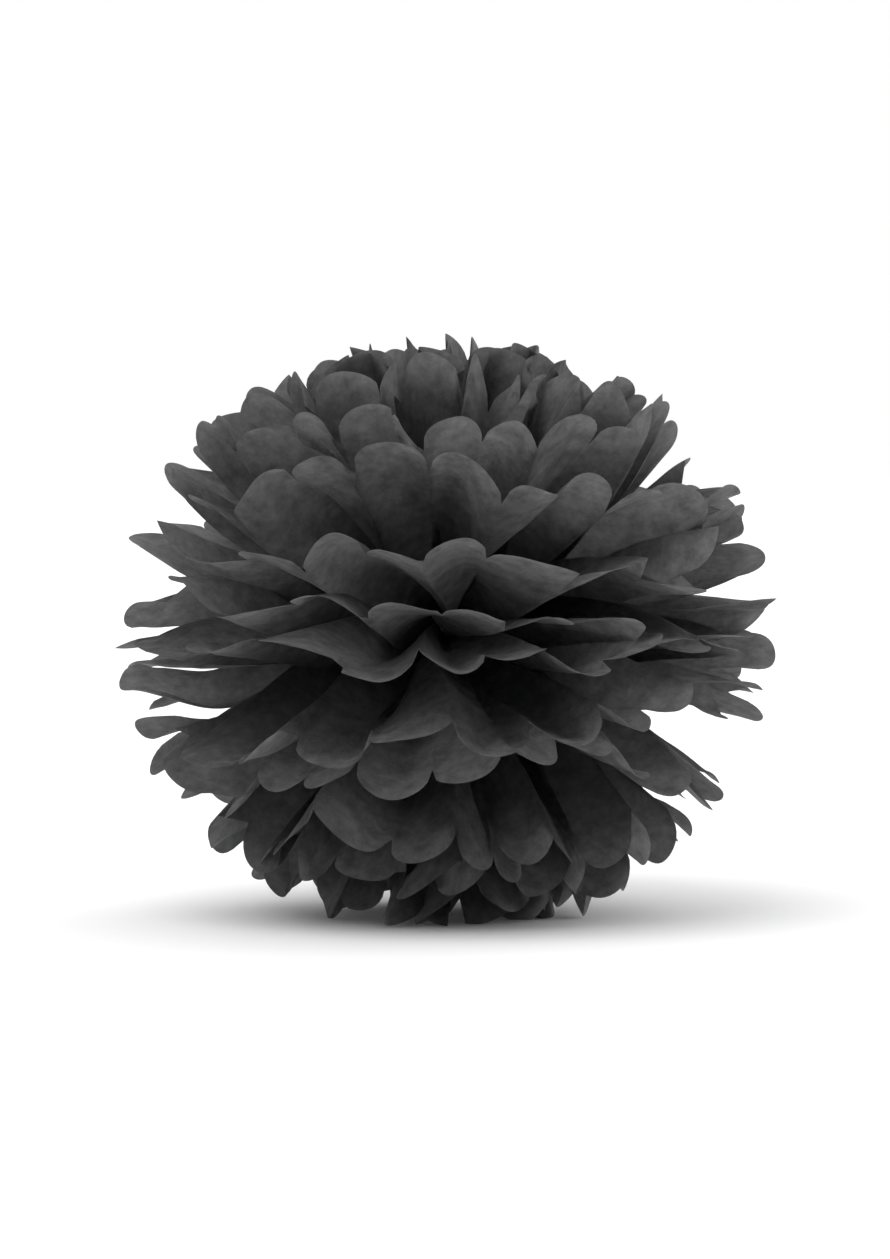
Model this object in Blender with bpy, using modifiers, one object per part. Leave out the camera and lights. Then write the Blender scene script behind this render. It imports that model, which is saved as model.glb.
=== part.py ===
"""Tissue paper pom pom, modelled sheet by sheet.

Twelve sheets of tissue are stacked, folded together into an accordion of twelve pleats, tied round
the middle with wire and cut round at both ends. Each half of the strip is then fanned out, to -Y
and to +Y, and the sheets are pulled apart one by one: six up and six down. Every sheet is one
piece of paper, so it is one solid, folded from a flat grid. Units are metres, +Z is up.
"""

import math

import bmesh
import bpy
from mathutils import Vector

# The flat tissue
SHEET_WIDTH = 0.500  # across the folds
STRIP_LENGTH = 0.350  # along the folds, from the tip of one rounded end to the other
PLEATS = 12
PAPER_THICKNESS = 0.0003  # a sheet with its creases, as one thin wall

# The tied middle
WAIST_WIDTH = 0.018  # the gathered folds, side by side along X
WAIST_PITCH = 0.0019  # from one sheet to the next along Z
BEND = 0.010  # how far from the wire a fold takes to turn to its own direction

# The fanned sheets
RISES = [math.radians(rise) for rise in (5, 17, 30, 44, 60, 78)]  # from the equator to the pole
CLEFTS = [math.radians(gap) for gap in (16, 8, 4, 4, 4, 4)]  # between the halves, at each side
WAIST_SET_BACK = math.radians(3)  # what the folds' bend at the waist takes off each half fan
POLE_CRUSH = 0.13  # the share of its reach that an upright sheet loses to crumpling
STEEPEST_FOLD = 0.87  # the most that a pleat stands up near the wire, for its width there
TIP_STEEPNESS = 3.0  # what is added to that at the tips, where the sheets are further apart
END_FLATNESS = 0.9  # the share of its height that a fan's end pleat loses
FLAT_SPOT = 0.0015  # how much the petals that it stands on are pressed flat

# The binding wire
WIRE_RADIUS = 0.0005
WIRE_CLEARANCE = 0.0005
LOOP_SQUARENESS = 0.3  # 1 is an oval loop; less squares it up to the corners of the tied stack
LOOP_POINTS = 24
LOOP_OPENING = math.radians(12)  # each end of the loop stops this far short of the twist
TWIST_LENGTH = 0.014
TWIST_TURNS = 3
TWIST_RADIUS = 0.00085
POINTS_A_TURN = 6

# The grid that each sheet is folded from
COLUMNS_PER_PLEAT = 4
ROWS_EACH_SIDE = (0.12, 0.40, 1.0)  # as shares of the way from the wire to the tip

PLEAT_WIDTH = SHEET_WIDTH / PLEATS
FOLD_LENGTH = STRIP_LENGTH / 2 - PLEAT_WIDTH / 2  # from the wire to the notch between two petals
PAPER_COLOUR = (0.030, 0.030, 0.032, 1)
WIRE_COLOUR = (0.42, 0.42, 0.43, 1)


def clear_scene():
    for old in list(bpy.data.objects):
        bpy.data.objects.remove(old, do_unlink=True)


def new_collection(name):
    collection = bpy.data.collections.new(name)
    bpy.context.scene.collection.children.link(collection)
    return collection


def new_material(name, colour, roughness, metallic):
    material = bpy.data.materials.new(name)
    material.use_nodes = True
    shader = material.node_tree.nodes["Principled BSDF"]
    shader.inputs["Base Color"].default_value = colour
    shader.inputs["Roughness"].default_value = roughness
    shader.inputs["Metallic"].default_value = metallic
    return material


def fold_direction(sheet, across):
    """The way that a fold runs, on the front half of an upper sheet; across is -1 to 1 over the folds."""
    rise = RISES[sheet]
    heading = (math.pi / 2 + WAIST_SET_BACK - CLEFTS[sheet] / 2) * across
    level = math.cos(rise)
    return Vector((level * math.sin(heading), -level * math.cos(heading), math.sin(rise)))


def fan_point(sheet, across, run):
    """A point of the smooth fan that a sheet's folds zigzag about, run metres from the wire."""
    straight = BEND * (1 - math.exp(-run / BEND))
    reach = (run - straight) * (1 - POLE_CRUSH * math.sin(RISES[sheet]) ** 2)
    start = Vector((across * WAIST_WIDTH / 2, -straight, (sheet + 0.5) * WAIST_PITCH))
    return start + fold_direction(sheet, across) * reach


def folded_point(sheet, up, across, run):
    """A point of the pleated sheet, on its front half. All the sheets were folded together, so the
    folds that are ridges on the upper sheets are ridges on the lower ones too."""
    small = 1e-4  # a short way along the fan, to find its slopes by
    here = fan_point(sheet, across, run)
    outward = fan_point(sheet, across, run + small) - here
    sideways = (fan_point(sheet, across + small, run) - here) / small
    upward = outward.cross(sideways).normalized()
    pitch = min(sideways.length * 2 / PLEATS, PLEAT_WIDTH)
    steepness = STEEPEST_FOLD + TIP_STEEPNESS * (run / FOLD_LENGTH) ** 2
    height = min(math.sqrt(PLEAT_WIDTH**2 - pitch**2), steepness * pitch)
    height *= 1 - END_FLATNESS * across**4
    fold = (across + 1) / 2 * PLEATS
    zigzag = 1 - 2 * abs(fold % 2 - 1)
    point = here + upward * (up * zigzag * height / 2)
    return Vector((point.x, point.y, up * point.z))


def scallop(across):
    """How far the round end of a pleat stands out past its folds."""
    share = ((across + 1) / 2 * PLEATS) % 1
    return PLEAT_WIDTH / 2 * math.sqrt(max(0, 1 - (2 * share - 1) ** 2))


def flat_grid():
    """A flat sheet as a grid: y is the row, counted from the wire, and x runs -1 to 1 over the folds."""
    rows = len(ROWS_EACH_SIDE)
    grid = bmesh.new()
    bmesh.ops.create_grid(
        grid, x_segments=PLEATS * COLUMNS_PER_PLEAT, y_segments=2 * rows, size=1
    )
    for vertex in grid.verts:
        vertex.co.y = round(vertex.co.y * rows)
    return grid


def fold_sheet(grid, sheet, up):
    """Folds and fans the flat grid in place. up is 1 for an upper sheet and -1 for a lower one."""
    shares = (0,) + ROWS_EACH_SIDE
    for vertex in grid.verts:
        row, across = round(vertex.co.y), vertex.co.x
        run = shares[abs(row)] * (FOLD_LENGTH + scallop(across))
        point = folded_point(sheet, up, across, run)
        vertex.co = Vector((point.x, math.copysign(point.y, row), point.z))


def press_flat(grid):
    """Flattens the lowest tips, which the pom pom stands on."""
    lowest = min(vertex.co.z for vertex in grid.verts)
    for vertex in grid.verts:
        vertex.co.z = max(vertex.co.z, lowest + FLAT_SPOT)


def make_sheet(name, sheet, up, collection):
    grid = flat_grid()
    fold_sheet(grid, sheet, up)
    if up < 0 and sheet == len(RISES) - 1:
        press_flat(grid)
    bmesh.ops.recalc_face_normals(grid, faces=grid.faces)
    mesh = bpy.data.meshes.new(name)
    grid.to_mesh(mesh)
    grid.free()
    paper = bpy.data.objects.new(name, mesh)
    collection.objects.link(paper)
    mesh.materials.append(new_material(name + "_tissue", PAPER_COLOUR, 0.85, 0.0))
    wall = paper.modifiers.new("thickness", "SOLIDIFY")
    wall.thickness = PAPER_THICKNESS
    wall.offset = 0
    return paper


def twisted_end(distance, side):
    """One end of the wire, wound round the other from the loop outwards; side is 1 or -1."""
    steps = POINTS_A_TURN * TWIST_TURNS
    points = []
    for step in range(steps + 1):
        turn = 2 * math.pi * TWIST_TURNS * step / steps
        out = distance + TWIST_LENGTH * step / steps
        y, z = TWIST_RADIUS * math.sin(turn), TWIST_RADIUS * math.cos(turn)
        points.append(Vector((out, side * y, side * z)))
    return points


def squared(value):
    """A sine or cosine, pushed out towards 1 to square up the loop."""
    return math.copysign(abs(value) ** LOOP_SQUARENESS, value)


def wire_route():
    """The wire's centre line: in along the twist, once round the tied waist, and out again."""
    around = PAPER_THICKNESS + WIRE_CLEARANCE + WIRE_RADIUS
    wide = WAIST_WIDTH / 2 + around
    tall = (len(RISES) + 0.5) * WAIST_PITCH + around
    loop = []
    for step in range(LOOP_POINTS + 1):
        share = step / LOOP_POINTS
        turn = LOOP_OPENING + (2 * math.pi - 2 * LOOP_OPENING) * share
        loop.append(Vector((wide * squared(math.cos(turn)), 0, tall * squared(math.sin(turn)))))
    start = wide + 2 * WIRE_RADIUS
    return twisted_end(start, 1)[::-1] + loop + twisted_end(start, -1)


def make_wire(collection):
    curve = bpy.data.curves.new("binding_wire", "CURVE")
    curve.dimensions = "3D"
    curve.bevel_depth = WIRE_RADIUS
    curve.bevel_resolution = 1
    curve.use_fill_caps = True
    spline = curve.splines.new("POLY")
    route = wire_route()
    spline.points.add(len(route) - 1)
    for point, place in zip(spline.points, route):
        point.co = (*place, 1)
    wire = bpy.data.objects.new("binding_wire", curve)
    collection.objects.link(wire)
    curve.materials.append(new_material("galvanised_wire", WIRE_COLOUR, 0.4, 1.0))
    return wire


def built_points(part, graph):
    """The part's points with its modifiers and bevel applied."""
    evaluated = part.evaluated_get(graph)
    points = [part.matrix_world @ vertex.co for vertex in evaluated.to_mesh().vertices]
    evaluated.to_mesh_clear()
    return points


def stand_on_ground(parts):
    """Moves the parts so that the middle of their box's underside is the origin."""
    bpy.context.view_layer.update()
    graph = bpy.context.evaluated_depsgraph_get()
    points = [point for part in parts for point in built_points(part, graph)]
    low = Vector([min(point[axis] for point in points) for axis in range(3)])
    high = Vector([max(point[axis] for point in points) for axis in range(3)])
    for part in parts:
        part.location = -Vector(((low.x + high.x) / 2, (low.y + high.y) / 2, low.z))


def main():
    clear_scene()
    collection = new_collection("tissue_pom_pom")
    parts = [make_wire(collection)]
    for sheet in range(len(RISES)):
        parts.append(make_sheet(f"upper_sheet_{sheet + 1}", sheet, 1, collection))
        parts.append(make_sheet(f"lower_sheet_{sheet + 1}", sheet, -1, collection))
    stand_on_ground(parts)


main()
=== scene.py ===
"""The looks of the tissue paper pom pom: every sheet as thin, creased, see-through black tissue."""

import bmesh
import bpy
import numpy as np
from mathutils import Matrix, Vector


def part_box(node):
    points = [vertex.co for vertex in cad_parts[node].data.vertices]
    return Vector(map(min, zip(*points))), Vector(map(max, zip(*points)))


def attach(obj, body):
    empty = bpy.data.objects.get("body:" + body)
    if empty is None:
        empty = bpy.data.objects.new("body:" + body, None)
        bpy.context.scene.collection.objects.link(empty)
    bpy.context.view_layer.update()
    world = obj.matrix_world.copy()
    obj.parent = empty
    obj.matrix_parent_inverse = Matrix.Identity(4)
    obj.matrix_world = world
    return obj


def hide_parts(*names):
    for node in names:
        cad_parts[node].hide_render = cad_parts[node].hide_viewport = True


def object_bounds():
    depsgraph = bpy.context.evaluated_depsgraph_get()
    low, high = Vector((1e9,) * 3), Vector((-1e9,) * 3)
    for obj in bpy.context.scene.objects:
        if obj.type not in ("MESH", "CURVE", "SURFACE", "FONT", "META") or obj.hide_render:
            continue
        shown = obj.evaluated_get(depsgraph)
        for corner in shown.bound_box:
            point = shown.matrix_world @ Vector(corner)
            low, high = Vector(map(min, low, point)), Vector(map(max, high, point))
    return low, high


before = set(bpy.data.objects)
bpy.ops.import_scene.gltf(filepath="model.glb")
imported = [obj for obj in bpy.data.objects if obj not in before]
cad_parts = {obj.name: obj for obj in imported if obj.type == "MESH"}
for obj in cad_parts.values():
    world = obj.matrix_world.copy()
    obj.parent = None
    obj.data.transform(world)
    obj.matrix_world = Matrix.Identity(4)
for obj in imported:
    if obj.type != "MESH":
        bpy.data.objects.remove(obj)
cad_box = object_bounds()

# The flat tissue and its gathered waist
SHEET_WIDTH = 0.500
STRIP_LENGTH = 0.350
PLEATS = 12
SHEETS_EACH_WAY = 6
PLEAT_WIDTH = SHEET_WIDTH / PLEATS
FOLD_LENGTH = STRIP_LENGTH / 2 - PLEAT_WIDTH / 2
WAIST_WIDTH = 0.018
WAIST_PITCH = 0.0019

# How the sheets fan out
BEND = 0.006
POLE_CRUSH = 0.12
POLE_DENTS = {1: 0.07, -1: 0.015}  # the further loss right at each pole
REACH_LEFT = 0.982  # the share of a fold that its curves and creases leave
CLEFTS = {  # the opening between the front and back half of each sheet at its left side, and how
    # far forward it lies, in degrees, from the sheet beside the equator to the pole
    1: ((24, 4), (12, -9), (4, 6), (3, -8), (0, 8), (0, -8)),
    -1: ((18, -3), (12, 8), (4, -9), (3, 8), (0, -8), (0, 8)),
}
CLOSING = 0.85  # how much of the bend's width the end folds come back, to close the clefts
MOST_CLOSING = 0.6  # the sine of the largest turn that this gives a fold
RISES = {  # the sheets' climb from the equator, upper and lower
    1: np.radians([2.5, 15, 27.5, 40, 53.5, 69]),
    -1: np.radians([3, 14.5, 26.5, 38.5, 51, 65]),
}
CROWDING = 0.045  # how far the folds gather towards the middle of each half
FRONT_TURN = np.radians(4)  # how far the middle folds lie from the halves' middle line
SETTLED_FROM = 0.02  # nearer the wire than this, all sheets lie in line with each other
SETTLED_OVER = 0.11  # the length over which each sheet then takes its own way

# How high the pleats stand
STEEPEST_FOLD = 6.0  # height over the level pitch
TIP_STEEPNESS = 1.5  # what is added to it at the tips, as a share
WAIST_STEEPNESS = 0.14  # the share of it that is left at the wire
STEEP_FROM = 0.20  # the share of the length by which it has grown to the whole
LOW_FRONT = (0.80, 0.68, 0.5, 0.35, 0.2, 0.1)  # how far each sheet flattens amid its halves
LOW_FRONT_WIDTH = 0.36  # of half a fan
CALM_WIDTH = 0.3  # of half a fan, where the folds also lean and curl less
END_FLATNESS = 0.3
BROAD_PANEL = 0.44  # the pitch of a broad panel that is open nearly flat, over two panels' width
WIDEST_LAP = 0.84  # the share of two pleats that the broad one takes, where they are crowded
WIDEST_PANEL = 0.97 * PLEAT_WIDTH
CREASES = 9
CRUMPLE = 0.0036

# How much the folds and panels stray, in degrees
LEAN = 3.0
MORE_LEAN = 0.4  # for each sheet further from the equator
TURN = 2.4

# The grid that each sheet is made from
COLUMNS_PER_PLEAT = 16
ROWS_EACH_SIDE = 64

SHARE_OF_VIEW = 0.72  # of the picture's width, that the object takes
CAMERA_DISTANCE = 2.6
CAMERA_ELEVATION = np.radians(2.5)
SENSOR_WIDTH = 36
SUN_ANGLE = np.radians(50)
FLOOR_SIZE = 30
FLOOR_TOP = -0.0005
wire_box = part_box("binding_wire")
MIDDLE = Vector((0, 0, (wire_box[0][2] + wire_box[1][2]) / 2))


def smooth_steps(x):
    x = np.clip(x, 0, 1)
    return x * x * (3 - 2 * x)


def along_folds(values, fold):
    """A value given at each fold, eased between folds; fold is 0 to PLEATS."""
    left = np.clip(np.floor(fold).astype(int), 0, PLEATS - 1)
    share = smooth_steps(fold - left)
    return values[left] * (1 - share) + values[left + 1] * share


def per_panel(values, fold):
    return values[np.clip(np.floor(fold).astype(int), 0, PLEATS - 1)]


def chained(rng, size, spread):
    """Random values where neighbours are alike."""
    raw = rng.normal(0, 1, size + 2)
    return spread * (raw[:-2] + 1.4 * raw[1:-1] + raw[2:]) / 1.99


def widest_lap(rise):
    """The share of two pleats' pitch that the broad one takes, so that it can open nearly flat."""
    tip_pitch = np.cos(rise) * np.pi * (FOLD_LENGTH + BEND) / PLEATS
    return np.clip(BROAD_PANEL * PLEAT_WIDTH / tip_pitch, 0.5, WIDEST_LAP)


def settled(run):
    """0 near the wire, where the sheets lie in line, and 1 where each goes its own way."""
    return smooth_steps((run - SETTLED_FROM) / SETTLED_OVER)


def fan_surface(sheet, up, ends, fold, run, lean, turn):
    """Points of the smooth fan on the front half; lean and turn bend each fold away from its place."""
    across = fold / PLEATS * 2 - 1
    rise = RISES[up][sheet]
    settle = settled(run)
    first = -np.pi / 2 + (ends[0] + np.pi / 2) * settle
    last = np.pi / 2 + (ends[1] - np.pi / 2) * settle
    shifted = fold + (2 * widest_lap(rise) - 1) * (1 - np.abs(fold % 2 - 1)) * settle
    shifted -= CROWDING * PLEATS / 2 * np.sin(np.pi * across)
    heading = first + (last - first) * shifted / PLEATS + along_folds(turn, fold) * settle
    heading += FRONT_TURN * np.cos(np.pi / 2 * across)
    straight = BEND * (1 - np.exp(-run / BEND))
    closing = np.clip(CLOSING * straight / np.maximum(run, 1e-4), 0, MOST_CLOSING)
    heading += np.arcsin(closing) * across * np.abs(across) ** 3
    steepness = rise + along_folds(lean, fold) * settle
    way = np.stack(
        [
            np.cos(steepness) * np.sin(heading),
            -np.cos(steepness) * np.cos(heading),
            np.sin(steepness),
        ],
        -1,
    )
    crush = POLE_CRUSH * np.sin(rise) ** 2 + POLE_DENTS[up] * np.sin(rise) ** 8
    reach = (run - straight) * REACH_LEFT * (1 - crush)
    start = np.stack(
        [across * WAIST_WIDTH / 2, -straight, np.full_like(run, (sheet + 0.5) * WAIST_PITCH)],
        -1,
    )
    return start + way * reach[..., None]


def unit(vectors):
    return vectors / np.maximum(np.linalg.norm(vectors, axis=-1, keepdims=True), 1e-12)


def creases(rng, share, run):
    """Sharp random creases over the panels, as heights."""
    height = np.zeros_like(run)
    for _ in range(CREASES):
        angle = rng.uniform(0, np.pi)
        offset = rng.uniform(-0.2, 0.2)
        wave = (share * PLEAT_WIDTH * np.cos(angle) + run * np.sin(angle)) / rng.uniform(
            0.017, 0.05
        )
        height += (1 - np.abs(2 * ((wave + offset) % 1) - 1)) ** 2 * rng.uniform(0.3, 1)
    return height / CREASES


def half_sheet(sheet, up, ends, rng):
    """The front half of a sheet as a (rows, columns, 3) array, from the wire out to the tips. ends are
    the headings of its first fold, at the left, and its last, at the right."""
    columns = PLEATS * COLUMNS_PER_PLEAT + 1
    fold, step = np.meshgrid(
        np.linspace(0, PLEATS, columns), np.linspace(0, 1, ROWS_EACH_SIDE + 1)
    )
    share = fold - np.clip(np.floor(fold), 0, PLEATS - 1)
    skew = per_panel(rng.uniform(-0.16, 0.16, PLEATS), fold)
    round_end = np.sqrt(np.clip(1 - (2 * share - 1) ** 2, 0, 1)) ** 0.9
    length = FOLD_LENGTH + PLEAT_WIDTH / 2 * round_end * (1 + skew * (2 * share - 1))
    run = step * length
    out = run / (FOLD_LENGTH + PLEAT_WIDTH / 2)
    calm = 1 - LOW_FRONT[sheet] * np.exp(-((np.linspace(-1, 1, PLEATS + 1) / CALM_WIDTH) ** 2))
    lean = chained(rng, PLEATS + 1, np.radians(LEAN + MORE_LEAN * sheet)) * calm
    turn = chained(rng, PLEATS + 1, np.radians(TURN))

    def base(fold_now, run_now):
        return fan_surface(sheet, up, ends, fold_now, run_now, lean, turn)

    here = base(fold, run)
    small = 0.02
    outward = unit(base(fold, run + 1e-4) - here)
    left, right = np.clip(fold - small, 0, PLEATS), np.clip(fold + small, 0, PLEATS)
    spread = (base(right, run) - base(left, run)) / (right - left)[..., None]
    upward = unit(np.cross(outward, spread))
    pitch = np.linalg.norm(spread, axis=-1).mean(1, keepdims=True)
    broad = np.minimum(2 * widest_lap(RISES[up][sheet]) * pitch, WIDEST_PANEL)
    leaving = WAIST_STEEPNESS + (1 - WAIST_STEEPNESS) * smooth_steps(out / STEEP_FROM)
    steepest = STEEPEST_FOLD * leaving * (1 + TIP_STEEPNESS * out**2) / np.cos(RISES[up][sheet])
    height = np.minimum(np.sqrt(PLEAT_WIDTH**2 - broad**2), steepest * pitch)
    across = fold / PLEATS * 2 - 1
    height *= 1 - LOW_FRONT[sheet] * np.exp(-((across / LOW_FRONT_WIDTH) ** 2))
    height *= 1 - END_FLATNESS * np.abs(across) ** 4
    plain = np.where(np.arange(PLEATS + 1) % 2, 1.0, -1.0)
    ridge = plain * rng.uniform(0.6, 1.25, PLEATS + 1)
    left_fold = np.clip(np.floor(fold).astype(int), 0, PLEATS - 1)
    settle = settled(run)
    own = ridge[left_fold] * (1 - share) + ridge[left_fold + 1] * share
    common = plain[left_fold] * (1 - share) + plain[left_fold + 1] * share
    zigzag = own * settle + common * (1 - settle)
    sideways = unit(np.cross(upward, outward))
    arch = np.sin(np.pi * share)
    narrow = np.where(np.arange(PLEATS) % 2, 1.0, 0.0) * (2 * widest_lap(RISES[up][sheet]) - 1)
    swell = rng.uniform(-0.004, 0.010, PLEATS) + 0.027 * narrow
    bulge = per_panel(swell, fold) * arch * settle
    tip = smooth_steps((out - 0.62) / 0.38) ** 1.5
    curl = per_panel(rng.normal(0.002, 0.008, PLEATS) * calm[:-1], fold) * tip
    twist = per_panel(rng.normal(0, 0.006, PLEATS), fold) * (share - 0.5) * tip * arch
    crumple = (creases(rng, share, run) - 0.3) * CRUMPLE * smooth_steps(out * 2) * (0.35 + arch)
    offset = up * zigzag * height / 2 + bulge + curl + twist + crumple
    slide = chained(rng, PLEATS + 1, 0.0015)
    points = here + upward * offset[..., None]
    points += sideways * (along_folds(slide, fold) * out)[..., None]
    points[..., 2] *= up
    return points


def sheet_points(sheet, up, seed):
    """Both halves, joined at the waist, as one (rows, columns, 3) array."""
    rng = np.random.default_rng(seed)
    left_gap, left_shift = np.radians(CLEFTS[up][sheet])
    right_gap, more_shift = np.radians(rng.uniform((0, -2), (2.5, 2)))
    right_shift = more_shift - left_shift
    left, right = np.pi / 2 - left_gap / 2, np.pi / 2 - right_gap / 2
    front = half_sheet(sheet, up, (-left + left_shift, right - right_shift), rng)
    back = half_sheet(sheet, up, (-left - left_shift, right + right_shift), rng)
    back[..., 1] *= -1
    back[0] = front[0]
    points = np.concatenate([front[:0:-1], back])
    points[..., 2] = np.maximum(points[..., 2] + MIDDLE.z, 0)
    return points


def make_paper(name, points, material):
    rows, columns = points.shape[:2]
    grid = bmesh.new()
    bmesh.ops.create_grid(grid, x_segments=columns - 1, y_segments=rows - 1, size=1)
    mesh = bpy.data.meshes.new(name)
    grid.to_mesh(mesh)
    grid.free()
    flat = np.empty(len(mesh.vertices) * 3)
    mesh.vertices.foreach_get("co", flat)
    flat = flat.reshape(-1, 3)
    column = np.rint((flat[:, 0] + 1) / 2 * (columns - 1)).astype(int)
    row = np.rint((flat[:, 1] + 1) / 2 * (rows - 1)).astype(int)
    mesh.vertices.foreach_set("co", points[row, column].astype(np.float32).ravel())
    corners = np.empty(len(mesh.loops), int)
    mesh.loops.foreach_get("vertex_index", corners)
    flat_place = np.stack([column / (columns - 1), row / (rows - 1)], 1)
    mesh.uv_layers.new(name="flat").data.foreach_set(
        "uv", flat_place[corners].astype(np.float32).ravel()
    )
    mesh.shade_smooth()
    mesh.materials.append(material)
    paper = bpy.data.objects.new(name, mesh)
    bpy.context.scene.collection.objects.link(paper)
    return paper


def noise(tree, place, scale, detail, roughness):
    texture = tree.nodes.new("ShaderNodeTexNoise")
    texture.inputs["Scale"].default_value = scale
    texture.inputs["Detail"].default_value = detail
    texture.inputs["Roughness"].default_value = roughness
    tree.links.new(place, texture.inputs["Vector"])
    return texture.outputs["Fac"]


def grey_ramp(tree, value, low, high):
    """A grey that goes from low to high; each is (position, brightness)."""
    ramp = tree.nodes.new("ShaderNodeValToRGB")
    for element, (position, grey) in zip(ramp.color_ramp.elements, (low, high)):
        element.position = position
        element.color = (grey, grey, grey * 1.02, 1)
    tree.links.new(value, ramp.inputs["Fac"])
    return ramp.outputs["Color"]


def bumped(tree, value, strength, distance):
    bump = tree.nodes.new("ShaderNodeBump")
    bump.inputs["Strength"].default_value = strength
    bump.inputs["Distance"].default_value = distance
    tree.links.new(value, bump.inputs["Height"])
    return bump.outputs["Normal"]


def tissue_material():
    """Thin black tissue: matt in front, with light from behind coming through in fine clouds."""
    material = bpy.data.materials.new("black_tissue")
    material.use_nodes = True
    tree = material.node_tree
    nodes, links = tree.nodes, tree.links
    nodes.clear()
    output = nodes.new("ShaderNodeOutputMaterial")
    mix = nodes.new("ShaderNodeMixShader")
    mix.inputs[0].default_value = 0.45
    front = nodes.new("ShaderNodeBsdfPrincipled")
    front.inputs["Roughness"].default_value = 0.55
    front.inputs["Specular IOR Level"].default_value = 0.3
    through = nodes.new("ShaderNodeBsdfTranslucent")
    place = nodes.new("ShaderNodeTexCoord")
    mottle = noise(tree, place.outputs["Object"], 110, 8, 0.7)
    stretch = nodes.new("ShaderNodeMapping")
    stretch.inputs["Scale"].default_value = (SHEET_WIDTH, STRIP_LENGTH * 0.25, 1)
    links.new(place.outputs["UV"], stretch.inputs["Vector"])
    lengthways = noise(tree, stretch.outputs["Vector"], 240, 5, 0.6)
    links.new(grey_ramp(tree, mottle, (0.3, 0.009), (0.75, 0.015)), front.inputs["Base Color"])
    links.new(grey_ramp(tree, mottle, (0.34, 0.17), (0.70, 0.36)), through.inputs["Color"])
    normal = bumped(tree, lengthways, 0.6, 0.0012)
    links.new(normal, front.inputs["Normal"])
    links.new(normal, through.inputs["Normal"])
    links.new(front.outputs[0], mix.inputs[1])
    links.new(through.outputs[0], mix.inputs[2])
    links.new(mix.outputs[0], output.inputs["Surface"])
    return material


def steel_material():
    """Drawn steel wire: bright, with fine marks."""
    material = bpy.data.materials.new("drawn_steel")
    material.use_nodes = True
    tree = material.node_tree
    shader = tree.nodes["Principled BSDF"]
    shader.inputs["Metallic"].default_value = 1.0
    place = tree.nodes.new("ShaderNodeTexCoord")
    marks = noise(tree, place.outputs["Object"], 900, 3, 0.6)
    tree.links.new(grey_ramp(tree, marks, (0.3, 0.42), (0.7, 0.62)), shader.inputs["Base Color"])
    tree.links.new(grey_ramp(tree, marks, (0.2, 0.25), (0.8, 0.42)), shader.inputs["Roughness"])
    return material


def build_sheets():
    material = tissue_material()
    for sheet in range(SHEETS_EACH_WAY):
        for up, word in ((1, "upper"), (-1, "lower")):
            name = f"{word}_sheet_{sheet + 1}"
            points = sheet_points(sheet, up, 11 + 20 * sheet + up)
            paper = make_paper(f"{name}_tissue", points, material)
            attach(paper, "root")
            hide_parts(name)


def dress_wire():
    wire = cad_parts["binding_wire"]
    wire.data.materials.clear()
    wire.data.materials.append(steel_material())


def plain_material(name, colour, roughness):
    material = bpy.data.materials.new(name)
    material.use_nodes = True
    shader = material.node_tree.nodes["Principled BSDF"]
    shader.inputs["Base Color"].default_value = colour
    shader.inputs["Roughness"].default_value = roughness
    return material


def make_floor():
    bpy.ops.mesh.primitive_plane_add(size=FLOOR_SIZE, location=(0, 0, FLOOR_TOP))
    floor = bpy.context.object
    floor.name = "floor"
    floor.data.materials.append(plain_material("floor_white", (0.93, 0.93, 0.93, 1), 0.8))


def make_lights():
    world = bpy.data.worlds.new("studio")
    bpy.context.scene.world = world
    world.use_nodes = True
    world.node_tree.nodes["Background"].inputs["Color"].default_value = (1, 1, 1, 1)
    world.node_tree.nodes["Background"].inputs["Strength"].default_value = 1.0
    for name, place, power in (
        ("key", Vector((-0.7, -1.0, 1.8)), 1.2),
        ("from_behind", Vector((1.3, 1.0, 0.4)), 1.5),
    ):
        light = bpy.data.lights.new(name, "SUN")
        light.angle = SUN_ANGLE
        light.energy = power
        lamp = bpy.data.objects.new(name, light)
        bpy.context.scene.collection.objects.link(lamp)
        lamp.location = place
        lamp.rotation_euler = (MIDDLE - place).to_track_quat("-Z", "Y").to_euler()


def make_camera():
    camera_data = bpy.data.cameras.new("camera")
    camera = bpy.data.objects.new("camera", camera_data)
    bpy.context.scene.collection.objects.link(camera)
    away = Vector((0, -np.cos(CAMERA_ELEVATION), np.sin(CAMERA_ELEVATION)))
    camera.location = MIDDLE + away * CAMERA_DISTANCE
    camera.rotation_euler = (MIDDLE - camera.location).to_track_quat("-Z", "Y").to_euler()
    camera_data.sensor_fit = "HORIZONTAL"
    camera_data.sensor_width = SENSOR_WIDTH
    shown = (cad_box[1][0] - cad_box[0][0]) / SHARE_OF_VIEW
    camera_data.lens = SENSOR_WIDTH * CAMERA_DISTANCE / shown
    bpy.context.scene.camera = camera
    bpy.context.scene.view_settings.view_transform = "Standard"


build_sheets()
dress_wire()
make_floor()
make_lights()
make_camera()
bpy.context.view_layer.update()
